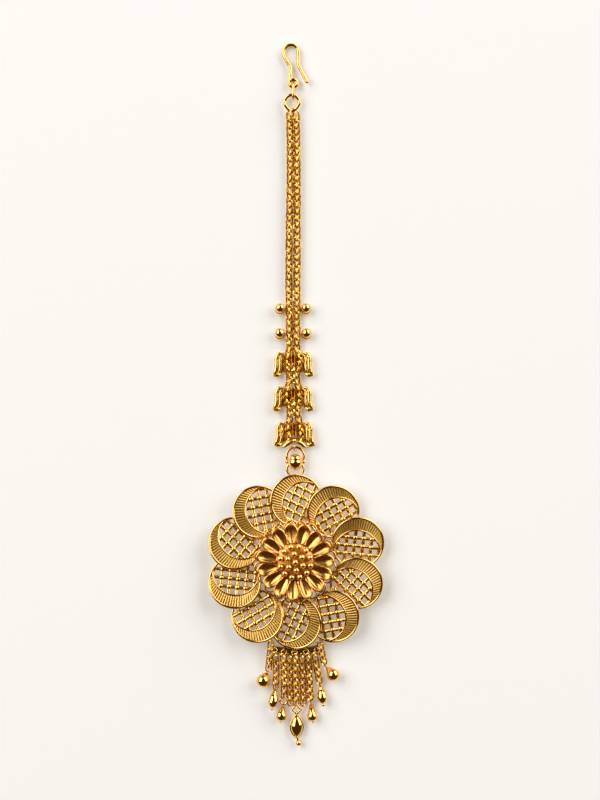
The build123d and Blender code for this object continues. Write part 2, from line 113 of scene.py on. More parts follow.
def makeGoldSurface():
    group = bpy.data.node_groups.new("goldSurface", "ShaderNodeTree")
    for side, kind, names in (("INPUT", "NodeSocketColor", ("Bright", "Deep")),
                              ("INPUT", "NodeSocketFloat", ("Patch Scale", "Grain Scale", "Gloss", "Dull")),
                              ("OUTPUT", "NodeSocketColor", ("Color",)),
                              ("OUTPUT", "NodeSocketFloat", ("Roughness", "Height"))):
        for name in names:
            group.interface.new_socket(name, in_out=side, socket_type=kind)
    make = group.nodes.new
    inputs, outputs, coords = make("NodeGroupInput"), make("NodeGroupOutput"), make("ShaderNodeTexCoord")
    patches, grain = make("ShaderNodeTexNoise"), make("ShaderNodeTexNoise")
    spread, rough = make("ShaderNodeMapRange"), make("ShaderNodeMapRange")
    for noise, detail, scale, remap, span in (
            (patches, "patchDetail", "Patch Scale", spread, "patchRange"),
            (grain, "grainDetail", "Grain Scale", rough, "grainRange")):
        setInputs(noise, {"Detail": goldPattern[detail]})
        setRange(remap, goldPattern[span])
        link(group, coords, "Object", noise, "Vector")
        link(group, inputs, scale, noise, "Scale")
        link(group, noise, "Fac", remap, "Value")
    tone = make("ShaderNodeMix")
    tone.data_type = "RGBA"
    link(group, spread, "Result", tone, colorMix["factor"])
    link(group, inputs, "Deep", tone, colorMix["first"])
    link(group, inputs, "Bright", tone, colorMix["second"])
    link(group, tone, colorMix["result"], outputs, "Color")
    link(group, inputs, "Gloss", rough, "To Min")
    link(group, inputs, "Dull", rough, "To Max")
    link(group, rough, "Result", outputs, "Roughness")
    relief = make("ShaderNodeMath")
    relief.operation = "MULTIPLY_ADD"
    setInputs(relief, {1: goldPattern["grainRelief"]})
    link(group, grain, "Fac", relief, 0)
    link(group, patches, "Fac", relief, 2)
    link(group, relief, "Value", outputs, "Height")
    return group


def goldMaterial(name, look):
    material = bpy.data.materials.new(name)
    material.use_nodes = True
    tree = material.node_tree
    shader = tree.nodes["Principled BSDF"]
    surface, bump = tree.nodes.new("ShaderNodeGroup"), tree.nodes.new("ShaderNodeBump")
    surface.node_tree = goldSurface
    gloss, dull = look["roughness"]
    setInputs(shader, {"Metallic": 1.0, "Coat Weight": lacquer["weight"], "Coat IOR": lacquer["ior"],
                       "Coat Roughness": gloss})
    setInputs(surface, {"Bright": (*look["bright"], 1), "Deep": (*look["deep"], 1),
                        "Patch Scale": look["patchScale"], "Grain Scale": look["grainScale"],
                        "Gloss": gloss, "Dull": dull})
    setInputs(bump, {"Strength": look["bump"], "Distance": look["bumpDepth"]})
    link(tree, surface, "Color", shader, "Base Color")
    link(tree, surface, "Roughness", shader, "Roughness")
    link(tree, surface, "Height", bump, "Height")
    link(tree, bump, "Normal", shader, "Normal")
    return material


goldSurface = makeGoldSurface()
golds = {name: goldMaterial(name, look) for name, look in goldLooks.items()}
print("materials made:", len(golds))


def turn(angle, axis):
    return Matrix.Rotation(math.radians(angle), 4, axis)


def shift(x=0, y=0, z=0):
    return Matrix.Translation((x, y, z))


def stretch(x=1, y=1, z=1):
    return Matrix.Diagonal((x, y, z, 1))


def polar(radius, angle):
    return radius * math.cos(math.radians(angle)), radius * math.sin(math.radians(angle))


def edgesOf(verts):
    return list(dict.fromkeys(edge for vert in verts for edge in vert.link_edges))


def facesOf(verts):
    return list(dict.fromkeys(face for vert in verts for face in vert.link_faces))


def spinAbout(bm, geom, place, angle, steps):
    bmesh.ops.spin(bm, geom=geom, cent=place.translation, axis=place.to_3x3() @ Vector((0, 0, 1)),
                   angle=math.radians(angle), steps=steps, use_merge=angle == 360)


def roundEdges(bm, edges, offset):
    bmesh.ops.bevel(bm, geom=edges, offset=offset, segments=3, affect="EDGES", profile=0.5, material=-1)


def addRing(bm, radius, wire, place, around, section, height=None):
    lie = shift(radius) @ turn(90, "X") @ stretch(y=(height or wire) / wire)
    loop = bmesh.ops.create_circle(bm, radius=wire / 2, segments=section, matrix=place @ lie)["verts"]
    spinAbout(bm, loop + edgesOf(loop), place, 360, around)


def addArc(bm, radius, wire, place, fromAngle, toAngle, steps, section, height=None):
    lie = place @ turn(fromAngle, "Z") @ shift(radius) @ turn(90, "X") @ stretch(y=(height or wire) / wire)
    loop = bmesh.ops.create_circle(bm, cap_ends=True, radius=wire / 2, segments=section, matrix=lie)["verts"]
    spinAbout(bm, loop + edgesOf(loop) + facesOf(loop), place, toAngle - fromAngle, steps)


def addTurned(bm, profile, place, steps):
    verts = [bm.verts.new(place @ Vector((radius, 0, height))) for radius, height in profile]
    edges = [bm.edges.new(pair) for pair in zip(verts, verts[1:])]
    spinAbout(bm, verts + edges, place, 360, steps)


def addBall(bm, radius, x, y, z, around, rows, flat=1):
    bmesh.ops.create_uvsphere(bm, u_segments=around, v_segments=rows, radius=radius,
                              matrix=shift(x, y, z) @ stretch(z=flat))


def addPost(bm, radius, height, place, around):
    bmesh.ops.create_cone(bm, cap_ends=True, segments=around, radius1=radius, radius2=radius, depth=height,
                          matrix=place)


def addBar(bm, start, end, width, height, level, bevel):
    along = end - start
    middle = ((start + end) / 2).to_3d()
    place = shift(*middle) @ turn(math.degrees(math.atan2(along.y, along.x)), "Z") @ shift(z=level)
    verts = bmesh.ops.create_cube(bm, size=1, matrix=place @ stretch(along.length, width, height))["verts"]
    direction = place.to_3x3() @ Vector((1, 0, 0))
    longEdges = [edge for edge in edgesOf(verts)
                 if abs((edge.verts[0].co - edge.verts[1].co).normalized().dot(direction)) > 0.99]
    roundEdges(bm, longEdges, bevel)


def addCopies(bm, mesh, places):
    for place in places:
        mesh.transform(place)
        bm.from_mesh(mesh)
        mesh.transform(place.inverted())


# points are x, y, z, and a fourth number swells the wire there
def curveMesh(points, closed=False, wire=0.0, smooth="BEZIER", rounding=3, steps=8):
    curve = bpy.data.curves.new("line", "CURVE")
    curve.dimensions = "3D"
    curve.bevel_depth = wire / 2
    curve.bevel_resolution = rounding
    curve.use_fill_caps = wire > 0 and not closed
    spline = curve.splines.new(smooth)
    ends = spline.bezier_points if smooth == "BEZIER" else spline.points
    ends.add(len(points) - 1)
    for end, point in zip(ends, points):
        end.co = point[:3] if smooth == "BEZIER" else (*point[:3], 1)
        end.radius = point[3] if len(point) > 3 else 1
    if smooth == "BEZIER":
        for end in ends:
            end.handle_left_type = end.handle_right_type = "AUTO"
    else:
        spline.order_u = 3
        spline.use_endpoint_u = True
    spline.use_cyclic_u = closed
    spline.resolution_u = steps
    holder = bpy.data.objects.new("line", curve)
    bpy.context.scene.collection.objects.link(holder)
    bpy.context.view_layer.update()
    mesh = bpy.data.meshes.new_from_object(holder)
    bpy.data.objects.remove(holder)
    bpy.data.curves.remove(curve)
    return mesh


def addBentWire(bm, points, wire, place=Matrix(), closed=False, rounding=3):
    mesh = curveMesh(points, closed, wire, rounding=rounding)
    addCopies(bm, mesh, [place])
    bpy.data.meshes.remove(mesh)


mergeGap = 0.0005  # points nearer than this become one


def makeMesh(bm, name, materialIndex=None):
    bmesh.ops.remove_doubles(bm, verts=bm.verts, dist=mergeGap)
    bmesh.ops.recalc_face_normals(bm, faces=bm.faces)
    if materialIndex is not None:
        for face in bm.faces:
            face.material_index = materialIndex
    mesh = bpy.data.meshes.new(name)
    bm.to_mesh(mesh)
    bm.free()
    return mesh


def startFrom(*meshes):
    bm = bmesh.new()
    for mesh in meshes:
        bm.from_mesh(mesh)
    return bm


def finishPiece(bm, name, materials, node, sharpAngle=50):
    mesh = makeMesh(bm, name)
    mesh.transform(Matrix.Scale(1 / perMetre, 4))
    for polygon in mesh.polygons:
        polygon.use_smooth = True
    mesh.set_sharp_from_angle(angle=math.radians(sharpAngle))
    for material in materials:
        mesh.materials.append(golds[material])
    piece = bpy.data.objects.new(name, mesh)
    bpy.context.scene.collection.objects.link(piece)
    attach(piece, "root")
    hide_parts(node)


def finishPolished(bm, name, node, sharpAngle=50):
    finishPiece(bm, name, ["polishedGold"], node, sharpAngle)


def linkMesh(size, around=12, section=6):
    length, width, wire = size["length"], size["width"], size["wire"]
    bm = bmesh.new()
    addRing(bm, (width - wire) / 2, wire, turn(180 / around, "Z"), around, section, size.get("height"))
    for vert in bm.verts:  # a round ring drawn out to its length
        vert.co.y += math.copysign((length - width) / 2, vert.co.y)
    return makeMesh(bm, "link")


hook = {
    "wire": 0.88, "eyeRadius": 0.84, "eye": (-0.45, 70.70, 1.15), "lean": 4.6, "tipSwell": 1.02,
    "bend": [(-1.29, 70.70), (-1.22, 71.90), (-1.02, 73.20), (-1.08, 74.30), (-2.00, 76.00), (-2.55, 77.15),
             (-2.60, 78.10), (-2.10, 79.15), (-0.95, 79.56), (0.22, 79.15), (0.68, 78.00), (0.66, 76.60),
             (0.66, 75.20), (1.25, 73.85), (2.00, 72.38), (2.66, 71.10)],
}


def makeHook():
    bm = bmesh.new()
    eyeX, eyeY, level = hook["eye"]
    place = shift(eyeX, eyeY, level) @ turn(-hook["lean"], "X") @ shift(-eyeX, -eyeY)
    addBentWire(bm, [(x, y, 0) for x, y in hook["bend"]], hook["wire"], place, rounding=4)
    addRing(bm, hook["eyeRadius"], hook["wire"], place @ shift(eyeX, eyeY), around=32, section=14)
    end = place @ Vector((*hook["bend"][-1], 0))
    addBall(bm, hook["wire"] / 2 * hook["tipSwell"], *end, around=16, rows=10)
    finishPolished(bm, "hairHook", "hair_hook")


rings = {
    "hookLink": {"length": 4.15, "width": 2.30, "wire": 0.60, "middle": (-0.47, 68.925, 1.15), "turn": 90},
    "endLink": {"length": 2.85, "width": 1.95, "wire": 0.42, "middle": (-0.62, 63.87, 1.80), "turn": 52},
    "pear": [(-2.41, 66.40), (-1.93, 67.56), (-0.77, 68.04), (0.39, 67.56), (0.87, 66.40), (0.45, 65.32),
             (-0.42, 64.50), (-0.77, 64.35), (-1.12, 64.50), (-1.99, 65.32)],
    "pearWire": 0.85, "pearLevel": 1.15,
}


def makeOvalRing(name, node):
    size = rings[name]
    bm = bmesh.new()
    addCopies(bm, linkMesh(size, around=28, section=12), [shift(*size["middle"]) @ turn(size["turn"], "Y")])
    finishPolished(bm, name, node)


def makePearRing():
    bm = bmesh.new()
    points = [(x, y, rings["pearLevel"]) for x, y in rings["pear"]]
    addBentWire(bm, points, rings["pearWire"], closed=True, rounding=4)
    finishPolished(bm, "pearRing", "top_ring")


makeHook()
makeOvalRing("hookLink", "hook_link")
makeOvalRing("endLink", "end_link")
makePearRing()
print("hook and rings made")

# links in turn lean left, lean right and stand upright, and the upright ones are the small ones
chain = {
    "length": 1.56, "width": 1.90, "wire": 0.38, "pitch": 0.50, "rise": 0.08, "firstSeed": 3,
    "leans": (-28, 28, 90), "uprightWidth": 0.70, "wobble": 12, "nod": 5,
    "routes": {
        "chain_left": [
            (-1.36, 63.7, 0.84), (-1.28, 61.4, 0.84), (-1.18, 57.6, 0.84), (-1.12, 50.0, 0.84),
            (-1.4, 38.5, 0.84), (-1.5, 26.5, 0.84), (-1.4, 18.0, 0.84), (-1.32, 11.4, 0.92),
            (-1.34, 10.1, 1.0), (-1.86, 8.5, 1.24), (-1.9, 6.6, 1.24), (-1.3, 4.9, 1.14),
            (-1.3, 2.9, 1.1), (-1.9, 1.1, 1.24), (-1.9, -1.4, 1.24), (-1.26, -3.1, 1.14),
            (-1.16, -5.0, 1.1), (-1.6, -6.9, 1.24), (-1.56, -10.9, 1.22)],
        "chain_right": [
            (0.2, 63.7, 0.84), (0.24, 61.4, 0.84), (0.34, 57.6, 0.84), (0.42, 50.0, 0.84),
            (0.4, 38.5, 0.84), (0.36, 26.5, 0.84), (0.34, 18.0, 0.84), (0.32, 11.4, 0.92),
            (0.34, 10.1, 1.0), (0.88, 8.5, 1.24), (0.92, 6.6, 1.24), (0.3, 4.9, 1.14),
            (0.3, 2.9, 1.1), (0.9, 1.1, 1.24), (0.9, -1.4, 1.24), (0.36, -3.1, 1.14),
            (0.5, -5.0, 1.1), (1.18, -6.9, 1.24), (1.2, -10.9, 1.22)],
    },
}
fringe = {
    "length": 1.60, "width": 1.94, "wire": 0.37, "pitch": 0.58, "rise": 0.10, "firstSeed": 11,
    "leans": (-34, 34, 90), "uprightWidth": 0.70, "wobble": 6, "nod": 5,
    "startRadius": 21.72, "tube": 1.36,
    "routes": {  # where only x and z are given, the strand starts just below the strip
        "fringe_chain_a": [(-5.55, -56.5, 1.3), (-5.88, -60.0, 1.16), (-6.02, -61.2, 0.92),
                           (-6.08, -62.38, 0.9)],
        "fringe_chain_b": [(-4.6, 1.66), (-4.3, -61.4, 1.0), (-4.36, -64.1, 0.8), (-4.46, -66.56, 0.9)],
        "fringe_chain_c": [(-2.82, 1.72), (-2.6, -62.2, 1.52), (-2.5, -65.6, 1.46), (-2.6, -68.6, 1.3)],
        "fringe_chain_c2": [(-1.42, 1.3), (-1.32, -62.4, 0.76), (-1.3, -66.2, 0.68), (-1.16, -70.2, 0.68)],
        "fringe_chain_d": [(0.03, 1.72), (-0.04, -62.9, 1.46), (0.04, -66.6, 1.4), (0.24, -70.25, 1.18)],
        "fringe_chain_d2": [(1.46, 1.4), (1.64, -62.4, 0.8), (1.66, -66.2, 0.68), (1.84, -70.2, 0.68)],
        "fringe_chain_e": [(2.92, 1.66), (3.14, -62.2, 0.92), (3.26, -65.8, 0.82), (3.5, -69.54, 1.0)],
        "fringe_chain_f": [(4.42, 1.66), (4.68, -61.1, 1.02), (5.08, -63.4, 0.82), (5.6, -65.66, 0.92)],
        "fringe_chain_g": [(5.62, -56.5, 1.3), (6.16, -59.4, 1.14), (6.46, -60.6, 0.96),
                           (6.64, -61.34, 0.94)],
    },
}


def stopsAlong(points, pitch):
    mesh = curveMesh(points, smooth="NURBS", steps=12)
    line = [vert.co.copy() for vert in mesh.vertices]
    bpy.data.meshes.remove(mesh)
    total = sum((b - a).length for a, b in zip(line, line[1:]))
    count = max(1, round(total / pitch))
    middles = [(number + 0.5) * total / count for number in range(count)]
    stops, travelled = [], 0.0
    for a, b in zip(line, line[1:]):
        step = b - a
        while len(stops) < count and travelled + step.length >= middles[len(stops)] - 1e-6:
            along = (middles[len(stops)] - travelled) / step.length
            stops.append((a + step * along, step.normalized()))
        travelled += step.length
    return stops


def makeChain(node, points, size, seed):
    dice = random.Random(seed)
    places = []
    for number, (point, along) in enumerate(stopsAlong(points, size["pitch"])):
        side = along.cross(Vector((0, 0, 1))).normalized()
        facing = Matrix((side, along, side.cross(along))).transposed().to_4x4()
        lean = size["leans"][number % len(size["leans"])]
        width = size["uprightWidth"] if lean == 90 else 1
        places.append(shift(*point) @ shift(z=size["rise"]) @ facing
                      @ turn(lean + dice.uniform(-1, 1) * size["wobble"], "Y")
                      @ turn(dice.uniform(-size["nod"], size["nod"]), "X") @ stretch(width))
    bm = bmesh.new()
    addCopies(bm, linkMesh(size), places)
    finishPiece(bm, "links_" + node, ["chainGold"], node)


for number, (node, route) in enumerate(chain["routes"].items()):
    makeChain(node, route, chain, chain["firstSeed"] + number)
for number, (node, (top, *corners)) in enumerate(fringe["routes"].items()):
    if len(top) == 2:
        nearX = max(abs(top[0]) - fringe["tube"] / 2, 0)
        top = (top[0], flowerY - math.sqrt(fringe["startRadius"] ** 2 - nearX ** 2), top[1])
    makeChain(node, [top, *corners], fringe, fringe["firstSeed"] + number)
print("chains made")

# a polished ball over a flatter cup
sideBead = {
    "count": 4, "ball": 1.16, "ballShift": 0.10,
    "cup": 1.27, "cupShift": -0.16, "cupLevel": 0.80, "cupFlat": 0.62,
}


def makeSideBead(number):
    node = f"side_bead_{number:02d}"
    low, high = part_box(node)
    middle, top = (low + high) / 2 * perMetre, high.z * perMetre
    bm = bmesh.new()
    addBall(bm, sideBead["ball"], middle.x, middle.y + sideBead["ballShift"], top - sideBead["ball"],
            around=36, rows=24)
    addBall(bm, sideBead["cup"], middle.x, middle.y + sideBead["cupShift"], sideBead["cupLevel"],
            around=36, rows=18, flat=sideBead["cupFlat"])
    finishPolished(bm, f"sideBead{number}", node)


for number in range(1, sideBead["count"] + 1):
    makeSideBead(number)
print("side beads made")

tulip = {
    "places": {"tulip_01": (-0.50, 9.85), "tulip_02": (-0.50, 2.05), "tulip_03": (-0.20, -6.05)},
    "outline": [(2.00, -0.30), (2.90, -0.18), (3.70, -0.55), (4.12, -1.35), (4.22, -3.20), (4.36, -4.50),
                (4.66, -5.45), (4.15, -5.86), (3.35, -5.86), (2.65, -5.20), (2.10, -4.60)],
    "bodyHeight": 0.80, "bodyBevel": 0.22,
    "bands": [  # level, wire, and each raised band's line with how far it swells
        (1.16, 0.84, [(2.20, -0.80, 0.45), (2.68, -1.05, 0.80), (2.90, -2.00, 1.0), (2.92, -3.50, 1.0),
                      (3.04, -4.40, 1.0), (3.40, -5.10, 0.70)]),
        (1.30, 1.10, [(2.30, -0.48, 0.35), (3.05, -0.58, 0.70), (3.62, -1.30, 1.0), (3.71, -2.60, 1.0),
                      (3.80, -3.90, 1.0), (4.06, -4.75, 0.95), (4.50, -5.40, 0.55)]),
        (1.00, 1.08, [(2.85, -5.00, 0.55), (3.40, -5.40, 1.0), (4.10, -5.44, 1.0), (4.52, -5.46, 0.60)])],
    "straps": [(-2.0, 2.6), (-4.3, 1.0)],  # middle and length of each, behind the chains
    "strapWidth": 5.2, "strapHeight": 0.42, "strapBevel": 0.13,
    "loop": {"length": 3.50, "width": 1.00, "wire": 0.34, "height": 1.50, "top": -0.15, "level": 1.56},
    "bead": {"radius": 0.50, "y": -4.45, "level": 1.85},
    "links": {"count": 5, "length": 1.40, "width": 1.30, "wire": 0.34,  # down to the next tulip
              "first": -3.40, "pitch": 0.84, "level": 1.72, "lean": 38},
    "roof": {"wire": 1.05, "level": 1.92, "flat": 0.62,  # two leaves over the lowest tulip
             "line": [(0.10, -4.50, 0.40), (0.95, -4.86, 0.95), (1.90, -5.45, 0.95), (2.60, -5.95, 0.40)]},
    "eye": {"radius": 0.80, "wire": 0.42, "y": -5.90, "level": 1.20},  # the connector hangs in it
}


def makeTulipSide():
    bm = bmesh.new()
    face = bm.faces.new([bm.verts.new((x, y, 0.0)) for x, y in tulip["outline"]])
    raised = bmesh.ops.extrude_face_region(bm, geom=[face])["geom"]
    top = [item for item in raised if isinstance(item, bmesh.types.BMVert)]
    bmesh.ops.translate(bm, vec=(0, 0, tulip["bodyHeight"]), verts=top)
    roundEdges(bm, [item for item in raised if isinstance(item, bmesh.types.BMEdge)], tulip["bodyBevel"])
    for level, wire, line in tulip["bands"]:
        addBentWire(bm, [(x, y, 0, swell) for x, y, swell in line], wire, shift(z=level), rounding=5)
    return makeMesh(bm, "tulipSide", 0)


def makeTulipStraps(place):
    bm = bmesh.new()
    width, height = tulip["strapWidth"], tulip["strapHeight"]
    for middle, length in tulip["straps"]:
        strap = place @ shift(0, middle, height / 2) @ stretch(width, length, height)
        corners = bmesh.ops.create_cube(bm, size=1, matrix=strap)["verts"]
        roundEdges(bm, edgesOf(corners), tulip["strapBevel"])
    # the straps take the second material, painted deep orange as bounced light
    return makeMesh(bm, "tulipStraps", 1)


def addTulipRoof(bm, place):
    roof, eye = tulip["roof"], tulip["eye"]
    points = [(x, y, 0, swell) for x, y, swell in roof["line"]]
    for side in (1, -1):
        addBentWire(bm, points, roof["wire"], place @ shift(z=roof["level"]) @ stretch(side, 1, roof["flat"]))
    addRing(bm, eye["radius"], eye["wire"], place @ shift(0, eye["y"], eye["level"]) @ turn(90, "Y"),
            around=28, section=10)


def addTulipLinks(bm, place, mesh):
    links = tulip["links"]
    for number in range(links["count"]):
        spot = place @ shift(0, links["first"] - number * links["pitch"], links["level"])
        addCopies(bm, mesh, [spot @ turn(links["lean"] + 90 * (number % 2), "Y")])


def makeTulip(node, x, y, sideMesh, loopMesh, betweenMesh):
    place = shift(x, y)
    loop, bead = tulip["loop"], tulip["bead"]
    bm = startFrom(makeTulipStraps(place))
    addCopies(bm, sideMesh, [place, place @ stretch(-1)])
    addCopies(bm, loopMesh, [place @ shift(0, loop["top"] - loop["length"] / 2, loop["level"])])
    if node == "tulip_03":
        addTulipRoof(bm, place)
    else:
        addTulipLinks(bm, place, betweenMesh)
    addBall(bm, bead["radius"], x, y + bead["y"], bead["level"], around=18, rows=12)
    finishPiece(bm, node.replace("_", ""), ["satinGold", "seatBounceGold"], node)


tulipMeshes = makeTulipSide(), linkMesh(tulip["loop"], around=20, section=10), linkMesh(tulip["links"])
for node, (x, y) in tulip["places"].items():
    makeTulip(node, x, y, *tulipMeshes)
print("tulips made")

connector = {
    "wire": 0.62, "level": 1.20, "rings": [(-13.97, 1.96), (-16.95, 1.86)],  # y and radius of each ring
    "ballY": -15.35, "ballRadius": 1.88, "ballWaist": 0.91, "ballRows": 36,
    "creaseAt": 0.40, "creaseDepth": 0.17, "creaseWidth": 0.24,
    "solder": {"radius": 0.46, "x": 1.86, "y": 0.05, "rise": 0.10},
}


def connectorProfile():
    radius, rows = connector["ballRadius"], connector["ballRows"]
    profile = []
    for row in range(rows + 1):  # from the lower pole to the upper one
        out, along = polar(radius, -90 + row * 180 / rows)
        fromCrease = (along - connector["creaseAt"]) / connector["creaseWidth"]
        dent = connector["creaseDepth"] * math.exp(-fromCrease ** 2)
        profile.append((max(out - dent, 0) * connector["ballWaist"] if 0 < row < rows else 0, along))
    return profile


def makeConnector():
    bm = bmesh.new()
    for ringY, radius in connector["rings"]:
        addRing(bm, radius, connector["wire"], shift(0, ringY, connector["level"]), around=64, section=14)
    lie = shift(0, connector["ballY"], connector["ballRadius"]) @ turn(-90, "X")
    addTurned(bm, connectorProfile(), lie, steps=40)
    solder = connector["solder"]
    for side in (-1, 1):
        addBall(bm, solder["radius"], side * solder["x"], connector["ballY"] + solder["y"],
                connector["level"] + solder["rise"], around=16, rows=10)
    finishPolished(bm, "connectorBall", "connector")


pendantLug = {"radius": 0.68, "wire": 0.40, "middle": (0, -18.84, 1.12)}


def makePendantLug():
    bm = bmesh.new()
    addRing(bm, pendantLug["radius"], pendantLug["wire"], shift(*pendantLug["middle"]) @ turn(90, "Y"),
            around=28, section=10)
    finishPolished(bm, "pendantLug", "pendant_lug")


makeConnector()
makePendantLug()
print("connector made")

# a petal is a round rim with a window in it: ribs fill the crescent beside it, and a lattice fills it
petal = {
    "radius": 6.10, "reachX": 14.55, "reachY": 13.95, "level": 2.60, "tilt": 11.0,
    "shifts": [  # how far each petal sits off the ellipse, x and y
        (0.20, -0.30), (0.0, -0.10), (0.30, -0.20), (0.0, -0.70), (0.0, -1.20),
        (0.0, 0.0), (0.0, -1.20), (0.15, -0.50), (0.15, -0.30), (0.25, -0.20)],
    "rimWire": 0.60, "rimLevel": 0.22, "rimWall": 0.34, "rimHeight": 0.86,
    "windowRadius": 5.30, "windowShift": 2.30, "windowAngle": -115.0, "windowWire": 0.46, "windowLevel": 0.26,
    "windowInRim": 0.5, "sillShare": 0.7, "sillLevel": 0.02,  # a lower, finer wire
    "plateLevel": -0.36, "plateThickness": 0.28, "plateSpread": 112,
    "plateInWall": 0.6, "plateNarrowest": 0.02,
    "ribWidth": 0.42, "ribHeight": 0.58, "ribLevel": 0.09, "ribBevel": 0.45, "ribShortest": 0.3,
    "ribFrom": (6.8, -120.0), "ribSpread": 56, "ribPitch": 2.9, "ribInRim": 0.9, "ribInWindow": 0.4,
    "latticePitch": 1.90, "latticeAngle": -24.5, "latticeShift": (0.33, 0.05), "latticeReach": 3,
    "latticeBar": 0.88, "latticeHeight": 0.80, "latticeBevel": 0.42, "latticeLevels": (0.02, -0.08),
    "latticeInWall": 0.7, "latticeShortest": 0.4,
    "knot": 0.70, "knotLevel": 0.06, "knotFlat": 0.80, "knotFromWindow": 0.2, "knotFromRim": 0.7,
}
petalCentre = Vector((0, 0))
windowCentre = Vector(polar(petal["windowShift"], petal["windowAngle"]))


# where a line enters and leaves a circle, or None where it misses it
def crossings(origin, along, centre, radius):
    to = centre - origin
    middle = to.dot(along)
    gap = radius ** 2 - (to.length_squared - middle ** 2)
    return None if gap <= 0 else (middle - math.sqrt(gap), middle + math.sqrt(gap))


def makePetalRim():
    bm = bmesh.new()
    radius, window, wire = petal["radius"], petal["windowRadius"], petal["windowWire"]
    sill, line = petal["sillShare"], radius - petal["rimWire"] / 2
    addRing(bm, line, petal["rimWire"], shift(z=petal["rimLevel"]), around=96, section=12)
    addRing(bm, line, petal["rimWall"], Matrix(), around=96, section=8, height=petal["rimHeight"])
    meeting = (radius - petal["windowInRim"]) ** 2 - window ** 2 - petal["windowShift"] ** 2
    half = 180 - math.degrees(math.acos(meeting / (2 * window * petal["windowShift"])))
    middle = petal["windowAngle"] + 180
    addArc(bm, window, wire, shift(*windowCentre, petal["windowLevel"]), middle - half, middle + half,
           steps=48, section=10)
    addArc(bm, window, wire * sill, shift(*windowCentre, petal["sillLevel"]), middle - half, middle + half,
           steps=48, section=6, height=petal["rimHeight"] * sill)
    return makeMesh(bm, "petalRim", 0)


# the plate under the ribs takes the fourth material, painted dark as shade in the valleys between them
def makePetalPlate():
    bm = bmesh.new()
    verts = bmesh.ops.create_grid(bm, x_segments=48, y_segments=1, size=1)["verts"]
    reach = petal["radius"] - petal["rimWall"] * petal["plateInWall"]
    for vert in verts:
        outward = Vector(polar(1, petal["windowAngle"] + 180 + vert.co.x * petal["plateSpread"]))
        window = crossings(petalCentre, outward, windowCentre, petal["windowRadius"])[1]
        far = reach if vert.co.y > 0 else min(window, reach - petal["plateNarrowest"])
        vert.co = (*(outward * far), petal["plateLevel"])
    faces = facesOf(verts)
    bmesh.ops.recalc_face_normals(bm, faces=faces)
    bmesh.ops.solidify(bm, geom=faces, thickness=petal["plateThickness"])
    return makeMesh(bm, "petalPlate", 3)


def makePetalRibs():
    bm = bmesh.new()
    distance, angle = petal["ribFrom"]  # the ribs spread from a place behind the petal
    source = Vector(polar(distance, angle))
    inRim = petal["radius"] - petal["rimWire"] * petal["ribInRim"]
    inWindow = petal["windowRadius"] + petal["windowWire"] * petal["ribInWindow"]
    steps = int(petal["ribSpread"] / petal["ribPitch"])
    for number in range(-steps, steps + 1):
        along = Vector(polar(1, angle + 180 + number * petal["ribPitch"]))
        rim = crossings(source, along, petalCentre, inRim)
        window = crossings(source, along, windowCentre, inWindow)
        if rim is None:
            continue
        begin = max(rim[0], window[1]) if window else rim[0]
        if rim[1] - begin >= petal["ribShortest"]:
            addBar(bm, source + along * begin, source + along * rim[1], petal["ribWidth"], petal["ribHeight"],
                   petal["ribLevel"], petal["ribWidth"] * petal["ribBevel"])
    return makeMesh(bm, "petalRibs", 1)


def addLatticeBar(bm, start, along, level):
    inRim = petal["radius"] - petal["rimWall"] * petal["latticeInWall"]
    rim = crossings(start, along, petalCentre, inRim)
    window = crossings(start, along, windowCentre, petal["windowRadius"])
    if rim is None or window is None:
        return
    low, high = max(rim[0], window[0]), min(rim[1], window[1])
    if high - low > petal["latticeShortest"]:
        addBar(bm, start + along * low, start + along * high, petal["latticeBar"], petal["latticeHeight"],
               level, petal["latticeBar"] * petal["latticeBevel"])


def makePetalLattice():
    bm = bmesh.new()
    origin = Vector(petal["latticeShift"])
    angle = petal["latticeAngle"]
    across, upward = Vector(polar(1, angle)), Vector(polar(1, angle + 90))
    upper, lower = petal["latticeLevels"]
    knotLevel, knotFlat = petal["knotLevel"], petal["knotFlat"]
    rows = range(-petal["latticeReach"], petal["latticeReach"])
    offsets = [(row + 0.5) * petal["latticePitch"] for row in rows]
    for offset in offsets:
        addLatticeBar(bm, origin + upward * offset, across, upper)
        addLatticeBar(bm, origin + across * offset, upward, lower)
    for offsetX in offsets:
        for offsetY in offsets:  # a knot where two bars cross
            spot = origin + across * offsetX + upward * offsetY
            inWindow = (spot - windowCentre).length < petal["windowRadius"] - petal["knotFromWindow"]
            if inWindow and spot.length < petal["radius"] - petal["knotFromRim"]:
                place = shift(*spot, knotLevel) @ turn(angle + 45, "Z") @ stretch(z=knotFlat)
                bmesh.ops.create_uvsphere(bm, u_segments=10, v_segments=6, radius=petal["knot"], matrix=place)
    return makeMesh(bm, "petalLattice", 2)


def makePetalMesh():
    bm = startFrom(makePetalRim(), makePetalPlate(), makePetalRibs(), makePetalLattice())
    mesh = bpy.data.meshes.new("petalFlat")
    bm.to_mesh(mesh)
    bm.free()
    return mesh


def makePetal(number, shiftX, shiftY, mesh):
    angle = 90 - number * 360 / len(petal["shifts"])
    x = petal["reachX"] * math.cos(math.radians(angle)) + shiftX
    y = petal["reachY"] * math.sin(math.radians(angle)) + shiftY
    bm = bmesh.new()
    addCopies(bm, mesh, [shift(x, flowerY + y, petal["level"]) @ turn(angle, "Z") @ turn(petal["tilt"], "X")])
    finishPiece(bm, f"petal{number + 1:02d}", ["polishedGold", "ribGold", "latticeGold", "valleyShadeGold"],
                f"petal_{number + 1:02d}", sharpAngle=40)


petalMesh = makePetalMesh()
print("petal faces:", len(petalMesh.polygons))
for number, (shiftX, shiftY) in enumerate(petal["shifts"]):
    makePetal(number, shiftX, shiftY, petalMesh)
print("petals made")

